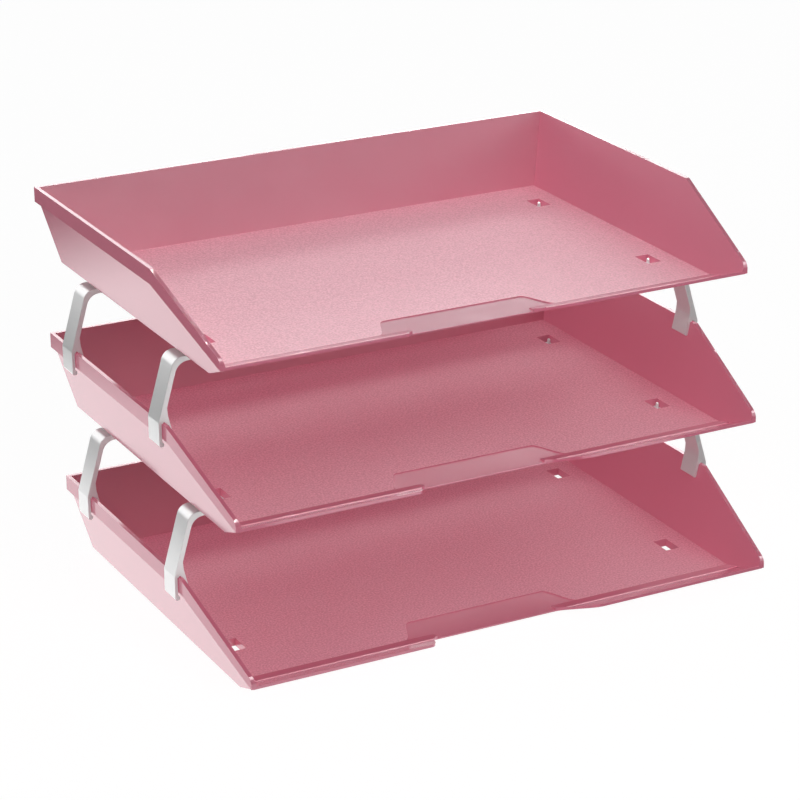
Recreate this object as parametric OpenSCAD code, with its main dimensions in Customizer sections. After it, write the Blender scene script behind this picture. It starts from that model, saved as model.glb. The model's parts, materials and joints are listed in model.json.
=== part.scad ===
// Three-tier letter tray: three equal trays, stacked on clip-on risers, each set back from the one below.
// Millimetres, +Z up. The origin is on the desk, under the middle of the whole stack.
// In a tray's own frame y runs back from the front edge and z up from the underside of its floor.

/* [Tray] */
// Width over the side rims
tray_w = 350; // [330:1:400]
// Depth from the front edge to the back of the rim
tray_d = 250; // [240:1:300]
// Height of the level rim above the underside of the floor
wall_h = 48; // [44:1:56]
// How far each wall leans out between the floor and the rim
wall_lean = 11.4; // [9:0.1:13]
// Thickness of a wall at the floor
wall_t = 2.3; // [2:0.1:2.8]
// Thickness of the floor
floor_t = 2.4; // [2:0.1:3]
// Chamfer along the bottom edge of the walls
base_chamfer = 2; // [1:0.1:2.6]
// Height of the feet under the floor, one around each slot
foot_h = 2.4; // [1.6:0.1:3.2]
// Width of the border that a foot makes around its slot
foot_border = 4; // [3:0.1:5]

/* [Rim] */
// Thickness of the rim at the top
rim_t = 2.4; // [2.2:0.1:2.8]
// Height of the band along the level rim
band_h = 9.2; // [8:0.1:10]
// Height of the band where it reaches the front
band_front_h = 5.8; // [5:0.1:6.5]
// Depth from the front edge to where the rim starts to slope down
slope_d = 75; // [68:1:80]
// Height of the sloping rim at the front
front_h = 16.8; // [16:0.1:20]
// Rounding of the rim at its front end
front_r = 5; // [3:0.1:5.5]

/* [Front lip] */
// Depth of the foot of the ramp on the inside
ramp_d = 30.5; // [28:0.1:34]
// Depth of the line where the ramp turns steeper
ramp_mid_d = 20; // [18:0.1:22]
// Height of that line above the underside of the floor
ramp_mid_h = 4.6; // [4.2:0.1:5.2]
// Height of the ramp's top at the front edge
ramp_front_h = 12.6; // [12:0.1:13]
// Thickness of the front edge
lip_t = 1.8; // [1.4:0.1:2.2]
// Depth of the foot of the ramp on the underside
under_ramp_d = 28; // [26:0.1:29]
// Radius of the raised line along the ramp
lip_line_r = 0.6; // [0.4:0.1:0.8]

/* [Thumb notch] */
// Depth of the floor's edge in the notch
notch_d = 25; // [23:0.1:27]
// Width of the notch at its back
notch_back_w = 78; // [60:1:90]
// Width of the notch at the front edge
notch_front_w = 112; // [100:1:130]
// Depth from the front to the back of the shallow recess behind the notch
recess_d = 51; // [46:0.5:56]
// Width of the recess at its back
recess_back_w = 88; // [80:1:96]
// Width of the recess at the foot of the ramp
recess_front_w = 114; // [104:1:124]
// How deep the recess is cut into the floor
recess_t = 0.5; // [0.3:0.1:0.8]

/* [Slots] */
// Width of a slot across the tray
slot_w = 9; // [8:0.1:10]
// Length of a slot along the tray
slot_l = 15; // [13:0.1:16]
// From the outside of the rim to the middle of a slot
slot_inset = 29.5; // [28:0.1:32]

/* [Stack] */
// Height from one tray to the next
tier_pitch = 88; // [80:1:100]
// How far each tray is set back from the one below
set_back = 14; // [8:0.5:18]
// From the start of the rim's slope to the middle of the front riser
front_riser_gap = 11.5; // [11:0.1:14]
// From the back of the rim to the middle of the rear riser
rear_riser_gap = 33.5; // [30:0.5:40]

/* [Riser] */
// Width of a riser along the rim
riser_w = 15; // [12:0.5:17]
// Thickness of the leaning strip
strip_t = 3.1; // [2.6:0.1:3.6]
// How far the strip leans in for each millimetre of height
strip_lean = 0.29; // [0.26:0.01:0.32]
// Outside radius of the bend at the top
bend_r = 7; // [5:0.1:8]
// Radius of the fillet under the tab
tab_fillet_r = 8; // [6:0.1:9]
// Thickness of the tab that carries the next tray
tab_t = 3; // [2.4:0.1:3.4]
// How far the tab reaches in past the middle of the slot
tab_reach = 8; // [6.5:0.1:9]
// Thickness of the two legs that grip the rim
leg_t = 1.7; // [1.4:0.1:2]
// Clearance between the rim and each leg
clip_gap = 0.5; // [0.3:0.05:0.6]
// How far the inner leg reaches down inside the tray
inner_leg_l = 7.5; // [6:0.1:9]
// From the bottom of the band to the middle of the hooked end
hook_drop = 3.2; // [2.6:0.1:4]
// Radius of the hooked end of the outer leg
hook_r = 1.45; // [1.3:0.05:1.6]
// Height above the rim where the outer leg turns into the strip
strip_rise = 1; // [0.6:0.1:1.6]
// Height above the rim where the inner leg starts to flare
flare_low = 4; // [3.4:0.1:5]
// Height above the rim where the flare meets the strip
flare_high = 9; // [8:0.1:11]
// Radius of the relief groove over the rim
relief_r = 0.9; // [0.6:0.05:1]
// Radius of the peg that stands in the slot
peg_r = 1; // [0.8:0.1:1.4]
// From the middle of the slot to the peg, outwards
peg_out = 2; // [1:0.1:2.2]
// From the middle of the slot to the peg, backwards
peg_back = 3; // [1:0.1:4]
// How far the tip of the peg stays below the top of the floor
peg_low = 0.6; // [0.4:0.1:1]

/* [Hidden] */
$fn = 64;
over = 1;
half_w = tray_w / 2;
base_half = half_w - wall_lean;
base_back = tray_d - wall_lean;
lean = wall_lean / wall_h;
inner_base_half = base_half + lean * floor_t - wall_t;
inner_base_back = base_back + lean * floor_t - wall_t;
inner_run = wall_lean - lean * floor_t + wall_t - rim_t;
inner_lean = inner_run / (wall_h - floor_t);
top_h = wall_h + over;
slope = (wall_h - front_h) / slope_d;
slope_len = sqrt(1 + slope * slope);
front_half = base_half + lean * front_h;
lip_h = ramp_front_h - lip_t;
round_z = front_h + slope * front_r - front_r * slope_len;
ramp_slope = (ramp_front_h - ramp_mid_h) / ramp_mid_d;
slot_x = half_w - slot_inset;
front_riser_y = slope_d + front_riser_gap;
rear_riser_y = tray_d - rear_riser_gap;
front_slot_y = front_riser_y - set_back;
rear_slot_y = rear_riser_y - set_back;
stack_d = tray_d + 2 * set_back;
curve_steps = 14;

// Riser, in the frame of the tray it stands on: x outwards from the middle, y up
leg_in = half_w + clip_gap;
leg_out = leg_in + leg_t;
strip_z = wall_h + strip_rise;
strip_len = sqrt(1 + strip_lean * strip_lean);
strip_span = strip_t * strip_len;
tab_top = tier_pitch - foot_h;
tab_low = tab_top - tab_t;
tab_end = slot_x - tab_reach;
bend_z = tab_top - bend_r;
bend_x = leg_out - strip_lean * (bend_z - strip_z) - bend_r * strip_len;
fillet_z = tab_low - tab_fillet_r;
fillet_x = leg_out - strip_lean * (fillet_z - strip_z) - strip_span - tab_fillet_r * strip_len;
hook_z = wall_h - band_h - hook_drop;
hook_x = leg_out - hook_r;
grip_top = half_w - rim_t - clip_gap;
grip_low_z = wall_h - inner_leg_l;
grip_low = grip_top - inner_lean * inner_leg_l;
flare_x = grip_top - leg_t + inner_lean * flare_low;
peg_top = tier_pitch + floor_t - peg_low;

function strip_out(z) = leg_out - strip_lean * (z - strip_z);
function s_curve(t) = (1 - cos(180 * t)) / 2;

// A side view (y, z) made solid across the tray
module across(width) {
    rotate([90, 0, 90])
        translate([0, 0, -width / 2])
            linear_extrude(width)
                children();
}

// A front view (x, z) made solid along the tray, from one depth to another
module along(from_y, to_y) {
    translate([0, to_y, 0])
        rotate([90, 0, 0])
            linear_extrude(to_y - from_y)
                children();
}

// Everything inside the outer faces of the floor, walls and ramp
module outer_body() {
    intersection() {
        along(-over, tray_d + over)
            polygon([
                [-base_half + base_chamfer, 0],
                [base_half - base_chamfer, 0],
                [base_half + lean * base_chamfer, base_chamfer],
                [half_w, wall_h],
                [-half_w, wall_h],
                [-base_half - lean * base_chamfer, base_chamfer]
            ]);
        across(tray_w + 2 * over)
            polygon([
                [under_ramp_d, 0],
                [base_back - base_chamfer, 0],
                [base_back + lean * base_chamfer, base_chamfer],
                [tray_d, wall_h],
                [slope_d, wall_h],
                [0, front_h],
                [0, lip_h]
            ]);
    }
}

// The open space over the floor and the ramp
module inner_space() {
    intersection() {
        along(-2 * over, tray_d + over)
            polygon([
                [-inner_base_half, floor_t],
                [inner_base_half, floor_t],
                [inner_base_half + inner_lean * (top_h - floor_t), top_h],
                [-inner_base_half - inner_lean * (top_h - floor_t), top_h]
            ]);
        across(tray_w + 2 * over)
            polygon([
                [-over, ramp_front_h + ramp_slope * over],
                [ramp_mid_d, ramp_mid_h],
                [ramp_d, floor_t],
                [inner_base_back, floor_t],
                [inner_base_back + inner_lean * (top_h - floor_t), top_h],
                [-over, top_h]
            ]);
    }
}

// The upright band outside the top of the walls
module rim_band() {
    intersection() {
        linear_extrude(top_h)
            difference() {
                polygon([
                    [-front_half, 0],
                    [front_half, 0],
                    [half_w, slope_d],
                    [half_w, tray_d],
                    [-half_w, tray_d],
                    [-half_w, slope_d]
                ]);
                polygon([
                    [-front_half + wall_t, -over],
                    [front_half - wall_t, -over],
                    [front_half - wall_t, 0],
                    [half_w - wall_t, slope_d],
                    [half_w - wall_t, tray_d - wall_t],
                    [-half_w + wall_t, tray_d - wall_t],
                    [-half_w + wall_t, slope_d],
                    [-front_half + wall_t, 0]
                ]);
            }
        across(tray_w + 2 * over)
            polygon([
                [0, front_h - band_front_h],
                [slope_d, wall_h - band_h],
                [tray_d, wall_h - band_h],
                [tray_d, wall_h],
                [slope_d, wall_h],
                [0, front_h]
            ]);
    }
}

// The raised line across the ramp, where it turns steeper
module lip_line() {
    translate([-base_half, ramp_mid_d, ramp_mid_h])
        rotate([0, 90, 0])
            cylinder(h = 2 * base_half, r = lip_line_r);
}

// What the rounding takes off the front end of both side rims
module front_rounding() {
    across(tray_w + 2 * over)
        difference() {
            polygon([
                [-over, round_z],
                [front_r, round_z],
                [front_r - front_r * slope / slope_len, round_z + front_r / slope_len],
                [front_r - (front_r + over) * slope / slope_len, round_z + (front_r + over) / slope_len],
                [-over, front_h + 2 * over]
            ]);
            translate([front_r, round_z])
                circle(front_r);
        }
}

// The thumb notch, cut right through the front lip
module thumb_notch() {
    half_back = notch_back_w / 2;
    half_front = notch_front_w / 2;
    run = half_back - half_front;
    right = [for (i = [0 : curve_steps])
        [half_front + run * i / curve_steps, notch_d * s_curve(i / curve_steps)]];
    left = [for (i = [curve_steps : -1 : 0])
        [-half_front - run * i / curve_steps, notch_d * s_curve(i / curve_steps)]];
    translate([0, 0, -over])
        linear_extrude(front_h + over)
            polygon(concat([[half_front, -over]], right, left, [[-half_front, -over]]));
}

// The shallow recess in the floor behind the notch
module thumb_recess() {
    half_back = recess_back_w / 2;
    half_front = recess_front_w / 2;
    half_notch = notch_back_w / 2;
    run = half_back - half_front;
    depth = recess_d - ramp_d;
    right = [for (i = [0 : curve_steps])
        [half_front + run * i / curve_steps, ramp_d + depth * s_curve(i / curve_steps)]];
    left = [for (i = [curve_steps : -1 : 0])
        [-half_front - run * i / curve_steps, ramp_d + depth * s_curve(i / curve_steps)]];
    translate([0, 0, floor_t - recess_t])
        linear_extrude(front_h)
            polygon(concat(
                [[-half_notch, notch_d - over], [half_notch, notch_d - over], [half_notch, ramp_d]],
                right,
                left,
                [[-half_notch, ramp_d]]
            ));
}

// One thing at each of the four slots
module at_slots() {
    for (x = [-slot_x, slot_x])
        for (y = [front_slot_y, rear_slot_y])
            translate([x, y, 0])
                children();
}

// One whole tray, as moulded
module tray_shape() {
    difference() {
        union() {
            difference() {
                outer_body();
                inner_space();
            }
            rim_band();
            lip_line();
            at_slots()
                translate([-slot_w / 2 - foot_border, -slot_l / 2 - foot_border, -foot_h])
                    cube([slot_w + 2 * foot_border, slot_l + 2 * foot_border, foot_h + floor_t / 2]);
        }
        front_rounding();
        thumb_notch();
        thumb_recess();
        at_slots()
            translate([-slot_w / 2, -slot_l / 2, -foot_h - over])
                cube([slot_w, slot_l, foot_h + floor_t + 2 * over]);
    }
}

// What is taken off the outside of the bend
module bend_corner() {
    difference() {
        polygon([
            [bend_x, bend_z],
            [bend_x, tab_top + over],
            [leg_out, tab_top + over],
            [bend_x + (bend_r + over) / strip_len, bend_z + (bend_r + over) * strip_lean / strip_len],
            [bend_x + bend_r / strip_len, bend_z + bend_r * strip_lean / strip_len]
        ]);
        translate([bend_x, bend_z])
            circle(bend_r);
    }
}

// Strip, tab and flare of a riser
module riser_strip() {
    difference() {
        polygon([
            [tab_end, tab_low],
            [fillet_x, tab_low],
            [fillet_x + tab_fillet_r / strip_len, fillet_z + tab_fillet_r * strip_lean / strip_len],
            [strip_out(wall_h + flare_high) - strip_span, wall_h + flare_high],
            [flare_x, wall_h + flare_low],
            [grip_top - leg_t, wall_h],
            [leg_out, wall_h],
            [leg_out, strip_z],
            [strip_out(tab_top), tab_top],
            [tab_end, tab_top]
        ]);
        translate([fillet_x, fillet_z])
            circle(tab_fillet_r);
        bend_corner();
    }
}

// The two legs that grip the rim
module riser_legs() {
    translate([leg_in, hook_z])
        square([leg_t, wall_h - hook_z]);
    translate([hook_x, hook_z])
        circle(hook_r);
    polygon([
        [grip_top, wall_h],
        [grip_top - leg_t, wall_h],
        [grip_low - leg_t, grip_low_z],
        [grip_low, grip_low_z]
    ]);
    translate([grip_low - leg_t / 2, grip_low_z])
        circle(leg_t / 2);
}

// One whole riser for the right side, centred on y = 0
module riser_shape() {
    along(-riser_w / 2, riser_w / 2)
        difference() {
            union() {
                riser_strip();
                riser_legs();
            }
            translate([half_w - rim_t / 2, wall_h])
                circle(relief_r);
        }
    translate([slot_x + peg_out, peg_back, tab_top - tab_t / 2])
        cylinder(h = peg_top - peg_r - tab_top + tab_t / 2, r = peg_r);
    translate([slot_x + peg_out, peg_back, peg_top - peg_r])
        sphere(peg_r);
}

// Puts a tray at its level: 0, 1 or 2
module at_tier(tier) {
    translate([0, tier * set_back - stack_d / 2, foot_h + tier * tier_pitch])
        children();
}

module tray(tier) {
    color([0.69, 0.33, 0.41])
        at_tier(tier)
            tray_shape();
}

module riser(tier, side, y) {
    color([0.75, 0.76, 0.76])
        at_tier(tier)
            translate([0, y, 0])
                if (side > 0)
                    riser_shape();
                else
                    mirror([1, 0, 0])
                        riser_shape();
}

module bottom_tray() {
    tray(0);
}

module middle_tray() {
    tray(1);
}

module top_tray() {
    tray(2);
}

module lower_riser_left_front() {
    riser(0, -1, front_riser_y);
}

module lower_riser_left_rear() {
    riser(0, -1, rear_riser_y);
}

module lower_riser_right_front() {
    riser(0, 1, front_riser_y);
}

module lower_riser_right_rear() {
    riser(0, 1, rear_riser_y);
}

module upper_riser_left_front() {
    riser(1, -1, front_riser_y);
}

module upper_riser_left_rear() {
    riser(1, -1, rear_riser_y);
}

module upper_riser_right_front() {
    riser(1, 1, front_riser_y);
}

module upper_riser_right_rear() {
    riser(1, 1, rear_riser_y);
}

bottom_tray();
middle_tray();
top_tray();
lower_riser_left_front();
lower_riser_left_rear();
lower_riser_right_front();
lower_riser_right_rear();
upper_riser_left_front();
upper_riser_left_rear();
upper_riser_right_front();
upper_riser_right_rear();
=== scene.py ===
"""Looks of the three-tier letter tray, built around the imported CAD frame."""
import json
import math

import bmesh
import bpy
from mathutils import Matrix, Vector

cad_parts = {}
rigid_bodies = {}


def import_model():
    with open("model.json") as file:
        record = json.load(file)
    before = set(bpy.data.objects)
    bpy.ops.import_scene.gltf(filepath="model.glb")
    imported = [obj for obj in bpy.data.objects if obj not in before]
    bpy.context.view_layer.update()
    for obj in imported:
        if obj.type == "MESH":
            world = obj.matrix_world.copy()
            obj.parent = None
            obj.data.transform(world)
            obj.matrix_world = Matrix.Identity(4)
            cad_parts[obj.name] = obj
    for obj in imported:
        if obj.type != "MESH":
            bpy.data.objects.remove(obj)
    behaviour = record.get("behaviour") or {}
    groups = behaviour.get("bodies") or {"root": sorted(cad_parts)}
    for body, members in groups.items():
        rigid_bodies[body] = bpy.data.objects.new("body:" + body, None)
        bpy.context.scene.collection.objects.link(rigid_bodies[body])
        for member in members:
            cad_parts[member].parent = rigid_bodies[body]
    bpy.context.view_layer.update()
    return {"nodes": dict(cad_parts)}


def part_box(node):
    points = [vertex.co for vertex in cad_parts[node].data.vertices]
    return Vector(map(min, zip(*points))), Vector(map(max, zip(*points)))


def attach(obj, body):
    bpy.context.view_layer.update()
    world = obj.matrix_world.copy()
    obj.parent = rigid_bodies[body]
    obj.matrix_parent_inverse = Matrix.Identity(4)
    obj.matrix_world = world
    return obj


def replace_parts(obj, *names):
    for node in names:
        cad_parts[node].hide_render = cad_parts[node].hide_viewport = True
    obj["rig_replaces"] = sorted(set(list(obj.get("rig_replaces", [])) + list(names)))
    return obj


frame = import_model()

MM = 0.001
TRAYS = ("bottom_tray", "middle_tray", "top_tray")
RISERS = {
    "lower_risers": [n for n in frame["nodes"] if n.startswith("lower_riser")],
    "upper_risers": [n for n in frame["nodes"] if n.startswith("upper_riser")],
}
WHITE = (1.0, 1.0, 1.0, 1.0)

scene = bpy.context.scene
scene.view_settings.view_transform = "Standard"


# Node helpers

def new_material(name):
    """An empty node material, its tree and its output node."""
    material = bpy.data.materials.new(name)
    material.use_nodes = True
    tree = material.node_tree
    tree.nodes.clear()
    output = tree.nodes.new("ShaderNodeOutputMaterial")
    return material, tree, output


def add(tree, kind, **settings):
    node = tree.nodes.new(kind)
    for key, value in settings.items():
        setattr(node, key, value)
    return node


def noise(tree, vector, scale, detail, roughness=0.5):
    node = add(tree, "ShaderNodeTexNoise")
    node.inputs["Scale"].default_value = scale
    node.inputs["Detail"].default_value = detail
    node.inputs["Roughness"].default_value = roughness
    tree.links.new(vector, node.inputs["Vector"])
    return node.outputs["Fac"]


def map_range(tree, value, source, target, **settings):
    """The value, moved from the source range to the target range."""
    node = add(tree, "ShaderNodeMapRange", **settings)
    tree.links.new(value, node.inputs["Value"])
    node.inputs["From Min"].default_value, node.inputs["From Max"].default_value = source
    node.inputs["To Min"].default_value, node.inputs["To Max"].default_value = target
    return node.outputs["Result"]


def mix_colour(tree, factor, first, second):
    node = add(tree, "ShaderNodeMix", data_type="RGBA")
    tree.links.new(factor, node.inputs["Factor"])
    node.inputs["A"].default_value = (*first, 1.0)
    node.inputs["B"].default_value = (*second, 1.0)
    return node.outputs["Result"]


def mix_shader(tree, factor, first, second):
    node = add(tree, "ShaderNodeMixShader")
    tree.links.new(factor, node.inputs["Fac"])
    tree.links.new(first, node.inputs[1])
    tree.links.new(second, node.inputs[2])
    return node.outputs["Shader"]


def bump(tree, height, distance, strength):
    node = add(tree, "ShaderNodeBump")
    node.inputs["Distance"].default_value = distance
    node.inputs["Strength"].default_value = strength
    tree.links.new(height, node.inputs["Height"])
    return node.outputs["Normal"]


# Materials

PINK = (0.536, 0.144, 0.212)
PINK_LIGHT = (0.556, 0.153, 0.223)
GRAIN_DARK = (0.452, 0.112, 0.170)
GRAIN_PALE = (0.630, 0.182, 0.260)
GREY = (0.61, 0.615, 0.615)
GREY_LIGHT = (0.63, 0.635, 0.635)
PLASTIC_IOR = 1.58
METALLIC = 0.42

# Scale, detail and roughness of each noise
SMEAR = (60.0, 4.0, 0.6)
GRAIN = (850.0, 2.0, 0.6)
FLOW = (14.0, 3.0)
SKIN = (700.0, 2.0)
CLOUD = (90.0, 2.0)
BLAST = (900.0, 1.0)

# Depth and strength of each bump
GRAIN_BUMP = (0.3 * MM, 0.8)
SKIN_BUMP = (0.06 * MM, 0.12)
BLAST_BUMP = (0.02 * MM, 0.06)

NOISE_RANGE = (0.3, 0.7)      # nearly all values of a noise lie in it
GRAIN_RANGE = (0.34, 0.66)    # a little less, so that the grain's colours part
METAL_ROUGHNESS = (0.285, 0.315)


def plastic(name, roughness, grained=False):
    """Dusty pink moulded plastic; the grained one has the fine texture of the tray floors."""
    material, tree, output = new_material(name)
    shader = add(tree, "ShaderNodeBsdfPrincipled")
    shader.inputs["IOR"].default_value = PLASTIC_IOR
    coords = add(tree, "ShaderNodeTexCoord").outputs["Object"]
    smear = map_range(tree, noise(tree, coords, *SMEAR), NOISE_RANGE, roughness)
    if grained:
        speck = noise(tree, coords, *GRAIN)
        normal = bump(tree, speck, *GRAIN_BUMP)
        tone = map_range(tree, speck, GRAIN_RANGE, (0.0, 1.0))
        colour = mix_colour(tree, tone, GRAIN_DARK, GRAIN_PALE)
    else:
        normal = bump(tree, noise(tree, coords, *SKIN), *SKIN_BUMP)
        colour = mix_colour(tree, noise(tree, coords, *FLOW), PINK, PINK_LIGHT)
    tree.links.new(smear, shader.inputs["Roughness"])
    tree.links.new(colour, shader.inputs["Base Color"])
    tree.links.new(normal, shader.inputs["Normal"])
    tree.links.new(shader.outputs["BSDF"], output.inputs["Surface"])
    return material


def aluminium():
    """Even satin grey metal, blasted fine."""
    material, tree, output = new_material("satin_aluminium")
    shader = add(tree, "ShaderNodeBsdfPrincipled")
    shader.inputs["Metallic"].default_value = METALLIC
    coords = add(tree, "ShaderNodeTexCoord").outputs["Object"]
    cloud = noise(tree, coords, *CLOUD)
    colour = mix_colour(tree, cloud, GREY, GREY_LIGHT)
    rough = map_range(tree, cloud, NOISE_RANGE, METAL_ROUGHNESS)
    normal = bump(tree, noise(tree, coords, *BLAST), *BLAST_BUMP)
    tree.links.new(colour, shader.inputs["Base Color"])
    tree.links.new(rough, shader.inputs["Roughness"])
    tree.links.new(normal, shader.inputs["Normal"])
    tree.links.new(shader.outputs["BSDF"], output.inputs["Surface"])
    return material


POLISHED = plastic("pink_plastic_polished", (0.08, 0.11))
SMOOTH = plastic("pink_plastic_smooth", (0.17, 0.20))
SATIN = plastic("pink_plastic_satin", (0.30, 0.36))
GRAINED = plastic("pink_plastic_grained", (0.58, 0.64), grained=True)
METAL = aluminium()
TRAY_FINISHES = (POLISHED, GRAINED, SMOOTH, SATIN)


# Pieces: the CAD shapes with eased edges

WELD = 2e-6                   # points that lie closer are one point
FLAT = 0.4                    # degrees; faces that turn by less are one face
SHARP = 32.0                  # degrees; an edge that turns by as much or more is not shaded over
FOLD = 5.0                    # degrees; a fold between two wide or two long faces stays crisp
WIDE_FACE = 600 * MM * MM
LONG_FACE = 40 * MM
ACROSS = 0.1                  # a fold across two long faces is shorter than this share of them

# Width and steps of a rounded edge, and the turn in degrees from which an edge is rounded
TRAY_EDGE = (0.5 * MM, 3, 25)
RISER_EDGE = (0.25 * MM, 2, 40)

# Where a tray's finishes lie; heights are from its lowest point
FLOOR_TOP = 4.8 * MM
RECESS_TOP = 4.3 * MM
HEIGHT_SLACK = 0.05 * MM
LEVEL = 0.999                 # the least upward part of a level face's normal
WALL_LEAN = (0.15, 0.5)       # the upward part of the normal of a flared wall's inner face
WALL_FACE = 300 * MM * MM     # the least area of the inner face of a wall


def shaded_over(edge):
    """True where the shading runs smoothly over an edge."""
    if len(edge.link_faces) != 2:
        return False
    angle = math.degrees(edge.calc_face_angle(0.0))
    area = min(f.calc_area() for f in edge.link_faces)
    span = min(max(side.calc_length() for side in f.edges) for f in edge.link_faces)
    across = span > LONG_FACE and edge.calc_length() < ACROSS * span
    return angle < SHARP and not (angle > FOLD and (area > WIDE_FACE or across))


def eased_copy(node, name, width, segments, least):
    """A copy of a CAD node's mesh with its flat faces joined and its outer edges rounded.

    Edges that turn by at least so many degrees are rounded to the width.
    """
    mesh = frame["nodes"][node].data.copy()
    mesh.name = name
    if mesh.has_custom_normals:
        mesh.normals_split_custom_set([(0.0, 0.0, 0.0)] * len(mesh.loops))
    work = bmesh.new()
    work.from_mesh(mesh)
    bmesh.ops.remove_doubles(work, verts=work.verts, dist=WELD)
    bmesh.ops.dissolve_limit(
        work, angle_limit=math.radians(FLAT), verts=work.verts, edges=work.edges,
        use_dissolve_boundaries=False,
    )
    chosen = [
        e for e in work.edges
        if len(e.link_faces) == 2 and e.is_convex
        and e.calc_face_angle(0.0) >= math.radians(least)
        and all(other.calc_length() > width for v in e.verts for other in v.link_edges)
    ]
    bmesh.ops.bevel(
        work, geom=chosen, offset=width, offset_type="OFFSET", segments=segments,
        profile=0.5, affect="EDGES", clamp_overlap=True, loop_slide=True,
    )
    for edge in work.edges:
        edge.smooth = shaded_over(edge)
    for face in work.faces:
        face.smooth = True
    work.to_mesh(mesh)
    work.free()
    mesh.materials.clear()
    piece = bpy.data.objects.new(name, mesh)
    scene.collection.objects.link(piece)
    return piece


def tray_finish(face, bottom):
    """The finish of one face of a tray whose lowest point is at the bottom height."""
    above = face.center.z - bottom
    level = face.normal.z > LEVEL
    if level and abs(above - FLOOR_TOP) < HEIGHT_SLACK:
        return GRAINED
    if level and abs(above - RECESS_TOP) < HEIGHT_SLACK:
        return SMOOTH
    if WALL_LEAN[0] < face.normal.z < WALL_LEAN[1] and face.area > WALL_FACE:
        return SATIN
    return POLISHED


for tray in TRAYS:
    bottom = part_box(tray)[0].z
    piece = eased_copy(tray, tray + "_moulding", *TRAY_EDGE)
    for finish in TRAY_FINISHES:
        piece.data.materials.append(finish)
    for face in piece.data.polygons:
        face.material_index = TRAY_FINISHES.index(tray_finish(face, bottom))
    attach(piece, tray)
    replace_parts(piece, tray)

for body, nodes in RISERS.items():
    for node in nodes:
        piece = eased_copy(node, node + "_strip", *RISER_EDGE)
        piece.data.materials.append(METAL)
        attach(piece, body)
        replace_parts(piece, node)

for piece in [o for o in scene.objects if "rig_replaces" in o]:
    flatten = piece.modifiers.new("flat_faces", "WEIGHTED_NORMAL")
    flatten.weight = 100
    flatten.keep_sharp = True


# Stage: white floor, white surroundings and the cards that the gloss mirrors

FLOOR_HALF = 6.0
FLOOR_LEVEL = -0.6 * MM       # the floor and the cards on it lie just under the part
TABLE_LEVEL = -0.3 * MM
TABLE_FRONT_LEVEL = -0.2 * MM
FLOOR_COLOUR = (0.9, 0.9, 0.9, 1.0)
FLOOR_GLOW = 1.05
FLOOR_GLOW_SHARE = 0.88       # the rest of what is seen is the lit floor, with the shadow
AIR_LIGHT = 0.13              # what the surroundings give to matt surfaces
BACKGROUND = 1.0


def seen_directly(tree):
    """1 for the rays that look at the background, straight or in a mirror or through glass."""
    path = add(tree, "ShaderNodeLightPath")
    first = add(tree, "ShaderNodeMath", operation="MAXIMUM")
    tree.links.new(path.outputs["Is Camera Ray"], first.inputs[0])
    tree.links.new(path.outputs["Is Glossy Ray"], first.inputs[1])
    second = add(tree, "ShaderNodeMath", operation="MAXIMUM")
    tree.links.new(first.outputs[0], second.inputs[0])
    tree.links.new(path.outputs["Is Transmission Ray"], second.inputs[1])
    return second.outputs[0]


def white_glow(tree, kind, strength):
    """An emission or background node that glows white."""
    node = add(tree, kind)
    node.inputs["Color"].default_value = WHITE
    node.inputs["Strength"].default_value = strength
    return node


def floor_material():
    """White to the eye, and lit as a pale matt floor under it."""
    material, tree, output = new_material("white_sweep")
    lit = add(tree, "ShaderNodeBsdfDiffuse")
    lit.inputs["Color"].default_value = FLOOR_COLOUR
    glow = white_glow(tree, "ShaderNodeEmission", FLOOR_GLOW)
    share = add(tree, "ShaderNodeMath", operation="MULTIPLY")
    share.inputs[1].default_value = FLOOR_GLOW_SHARE
    tree.links.new(seen_directly(tree), share.inputs[0])
    surface = mix_shader(tree, share.outputs[0], lit.outputs["BSDF"], glow.outputs["Emission"])
    tree.links.new(surface, output.inputs["Surface"])
    return material


def stage_mesh(name, points, faces, material):
    mesh = bpy.data.meshes.new(name)
    mesh.from_pydata(points, [], faces)
    thing = bpy.data.objects.new(name, mesh)
    scene.collection.objects.link(thing)
    mesh.materials.append(material)
    return thing


def card(name, points, faces, strength, fade=None):
    """A studio card that only shows in glossy surfaces.

    fade (middle, squeeze, reach, last) takes the glow down to last over the reach, between two
    distances from the middle, with distances along each axis multiplied by squeeze.
    """
    material, tree, output = new_material(name)
    glow = white_glow(tree, "ShaderNodeEmission", strength)
    if fade:
        middle, squeeze, reach, last = fade
        place = add(tree, "ShaderNodeVectorMath", operation="SUBTRACT")
        tree.links.new(add(tree, "ShaderNodeTexCoord").outputs["Object"], place.inputs[0])
        place.inputs[1].default_value = middle
        narrow = add(tree, "ShaderNodeVectorMath", operation="MULTIPLY")
        tree.links.new(place.outputs["Vector"], narrow.inputs[0])
        narrow.inputs[1].default_value = squeeze
        away = add(tree, "ShaderNodeVectorMath", operation="LENGTH")
        tree.links.new(narrow.outputs["Vector"], away.inputs[0])
        falling = map_range(
            tree, away.outputs["Value"], reach, (strength, last), interpolation_type="SMOOTHSTEP"
        )
        tree.links.new(falling, glow.inputs["Strength"])
    tree.links.new(glow.outputs["Emission"], output.inputs["Surface"])
    thing = stage_mesh(name, points, faces, material)
    thing.visible_camera = False
    thing.visible_diffuse = False
    thing.visible_transmission = False
    thing.visible_shadow = False


def disc(radius, height, steps=48):
    """Points and faces of a level disc around the object's middle, in narrow wedges."""
    points, faces = [], []
    for i in range(steps):
        turn = 2 * math.pi * i / steps
        points.append((0.0, 0.0, height))
        points.append((radius * math.cos(turn), radius * math.sin(turn), height))
    for i in range(steps):
        a, b = 2 * i, 2 * ((i + 1) % steps)
        faces.append((a, a + 1, b + 1, b))
    return points, faces


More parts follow.
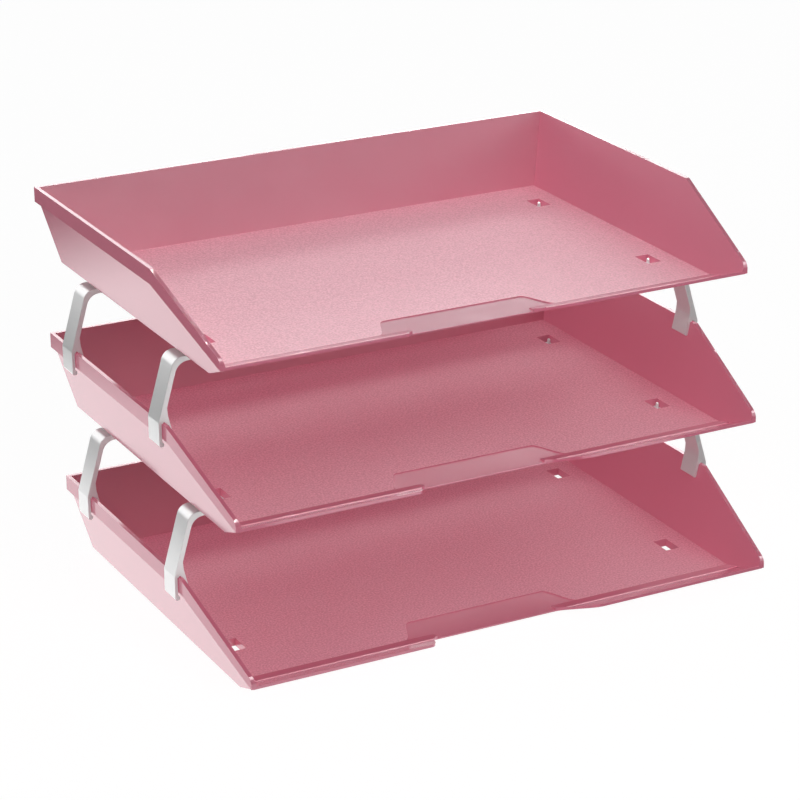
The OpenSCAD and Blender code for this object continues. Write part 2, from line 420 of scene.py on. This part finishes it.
def curtain(radius, bearings, low, high, steps=8):
    """Points and faces of an upright curved panel; bearings in degrees from +Y towards +X."""
    first, last = bearings
    points, faces = [], []
    for i in range(steps + 1):
        turn = math.radians(first + (last - first) * i / steps)
        for height in (low, high):
            points.append((radius * math.sin(turn), radius * math.cos(turn), height))
    for i in range(steps):
        faces.append((2 * i, 2 * i + 1, 2 * i + 3, 2 * i + 2))
    return points, faces


def facing(place, target):
    """The turn that points a lamp or panel at the place towards the target."""
    return (Vector(target) - Vector(place)).to_track_quat("-Z", "Y")


def slab(place, target, size):
    """Points and faces of a flat square panel that faces the target."""
    turn = facing(place, target)
    corners = ((-1, -1), (1, -1), (1, 1), (-1, 1))
    points = [
        Vector(place) + turn @ Vector((size / 2 * x, size / 2 * y, 0.0)) for x, y in corners
    ]
    return points, [(0, 1, 2, 3)]


floor = stage_mesh(
    "floor",
    [
        (-FLOOR_HALF, -FLOOR_HALF, 0), (FLOOR_HALF, -FLOOR_HALF, 0),
        (FLOOR_HALF, FLOOR_HALF, 0), (-FLOOR_HALF, FLOOR_HALF, 0),
    ],
    [(0, 1, 2, 3)],
    floor_material(),
)
floor.location.z = FLOOR_LEVEL

# The table top: bright beside the left of the part, dark further out, and bright before its front
TABLE_RADIUS = 5.5
TABLE_FADE = ((-0.18, 0.09, 0.0), (2.0, 1.0, 1.0), (0.32, 0.55), 0.18)
TABLE_FRONT = Vector((0.1, -0.38, TABLE_FRONT_LEVEL))
card("table", *disc(TABLE_RADIUS, TABLE_LEVEL), 1.85, TABLE_FADE)
card("table_front", *slab(TABLE_FRONT, TABLE_FRONT + Vector((0, 0, 1)), 0.3), 2.5)

# Curved panels around the part: radius, bearings, low and high edge in metres, then strength
AROUND, BEHIND = 1.6, 1.5
RIGHT, SIDE, FRONT, LEFT = (75, 100), (100, 150), (150, 215), (-145, -50)
BACK, BACK_LEFT, BACK_RIGHT = (-50, 75), (-50, -8), (-8, 75)
GAP_LEFT, GAP_MIDDLE, GAP_RIGHT = (-8, 21), (21, 38), (38, 75)
card("front_low", *curtain(AROUND, (SIDE[0], FRONT[1]), 0.0, 0.4), 0.1)
card("front_panel", *curtain(AROUND, FRONT, 0.4, 1.6), 0.85)
card("side_panel", *curtain(AROUND, SIDE, 0.4, 1.6), 3.0)
card("left_low", *curtain(AROUND, LEFT, 0.0, 0.5), 0.1)
card("left_panel", *curtain(AROUND, LEFT, 0.5, 1.6), 1.0)
card("back_low", *curtain(BEHIND, BACK, 0.0, 0.3), 1.2)
card("back_left", *curtain(BEHIND, BACK_LEFT, 0.3, 1.5), 2.5)
card("low_panel", *curtain(BEHIND, BACK_RIGHT, 0.30, 0.46), 0.5)
card("slit_panel", *curtain(BEHIND, BACK_RIGHT, 0.46, 0.62), 7.5)
card("gap_left", *curtain(BEHIND, GAP_LEFT, 0.62, 0.95), 3.0)
card("gap_middle", *curtain(BEHIND, GAP_MIDDLE, 0.62, 0.95), 0.2)
card("gap_right", *curtain(BEHIND, GAP_RIGHT, 0.62, 0.95), 3.0)
card("high_panel", *curtain(BEHIND, BACK_RIGHT, 0.95, 1.2), 9.0)
card("upper_panel", *curtain(BEHIND, BACK_RIGHT, 1.2, 1.5), 4.0)
card("right_panel", *curtain(AROUND, RIGHT, 0.0, 1.6), 0.2)

# Overhead
CEILING_RADIUS, CEILING_LEVEL = 2.6, 2.3
OVER_PLACE, OVER_TARGET, OVER_SIZE = (0.70, -0.60, 1.45), (0.0, 0.0, 0.12), 1.1
card("ceiling", *disc(CEILING_RADIUS, CEILING_LEVEL), 0.25)
card("over_panel", *slab(OVER_PLACE, OVER_TARGET, OVER_SIZE), 9.0)

world = bpy.data.worlds.new("studio")
scene.world = world
world.use_nodes = True
tree = world.node_tree
tree.nodes.clear()
output = add(tree, "ShaderNodeOutputWorld")
soft = white_glow(tree, "ShaderNodeBackground", AIR_LIGHT)
white = white_glow(tree, "ShaderNodeBackground", BACKGROUND)
surroundings = mix_shader(
    tree, seen_directly(tree), soft.outputs["Background"], white.outputs["Background"]
)
tree.links.new(surroundings, output.inputs["Surface"])


# Lights: place, size and power of the soft boxes, direction and strength of the fill

AIM = (0.0, 0.0, 0.1)
FILL_SPREAD = math.radians(30)


def hang(name, lamp, place, target):
    holder = bpy.data.objects.new(name, lamp)
    holder.location = place
    holder.rotation_mode = "QUATERNION"
    holder.rotation_quaternion = facing(place, target)
    scene.collection.objects.link(holder)
    return holder


def soft_box(name, place, size, power):
    lamp = bpy.data.lights.new(name, "AREA")
    lamp.shape = "DISK"
    lamp.size = size
    lamp.energy = power
    return hang(name, lamp, place, AIM)


def matt_light(name, place, size, power):
    """A soft box that lights the colours and is not mirrored; the cards are."""
    soft_box(name, place, size, power).visible_glossy = False


def sheen_light(name, place, size, power):
    """A soft box that only shows as a sheen on satin and glossy surfaces."""
    holder = soft_box(name, place, size, power)
    holder.visible_diffuse = False
    holder.data.cycles.use_multiple_importance_sampling = False


def fill_light(name, direction, strength):
    """Even light without shadows, so that the lower trays are not lost in the dark."""
    lamp = bpy.data.lights.new(name, "SUN")
    lamp.energy = strength
    lamp.angle = FILL_SPREAD
    lamp.use_shadow = False
    hang(name, lamp, direction, (0, 0, 0)).visible_glossy = False


matt_light("key", (-1.3, -1.2, 1.5), 1.1, 3.5)
matt_light("front", (0.2, -1.8, 0.75), 1.0, 12.0)
fill_light("fill_right", (0.95, 0, 0.3), 0.9)
fill_light("fill_left", (-0.95, 0, 0.3), 1.1)
fill_light("fill_back", (0, 0.7, 0.7), 0.85)
sheen_light("sheen_top", (0.1, 0.0, 1.4), 1.8, 70.0)
sheen_light("sheen_front", (-0.2, -1.0, 1.2), 1.2, 55.0)


# Camera, fitted to the photograph's edges

PHOTO_PX = 800.0
FOCAL_PX = 2897.2
SENSOR = 36.0
AZIMUTH, ELEVATION, ROLL = math.radians(-27.435), math.radians(21.113), math.radians(-0.547)
TARGET = Vector((-20.602, -34.632, 120.0)) * MM
DISTANCE = 1687.6 * MM

back = Vector((
    math.sin(AZIMUTH) * math.cos(ELEVATION),
    -math.cos(AZIMUTH) * math.cos(ELEVATION),
    math.sin(ELEVATION),
))
level = Vector((math.cos(AZIMUTH), math.sin(AZIMUTH), 0.0))
upright = back.cross(level)
right = level * math.cos(ROLL) + upright * math.sin(ROLL)
up = upright * math.cos(ROLL) - level * math.sin(ROLL)
lens = bpy.data.cameras.new("camera")
lens.sensor_width = SENSOR
lens.lens = SENSOR * FOCAL_PX / PHOTO_PX
lens.clip_start = 0.05
lens.clip_end = 60.0
camera = bpy.data.objects.new("camera", lens)
turn = Matrix((right, up, back)).transposed().to_4x4()
camera.matrix_world = Matrix.Translation(TARGET + back * DISTANCE) @ turn
scene.collection.objects.link(camera)
scene.camera = camera
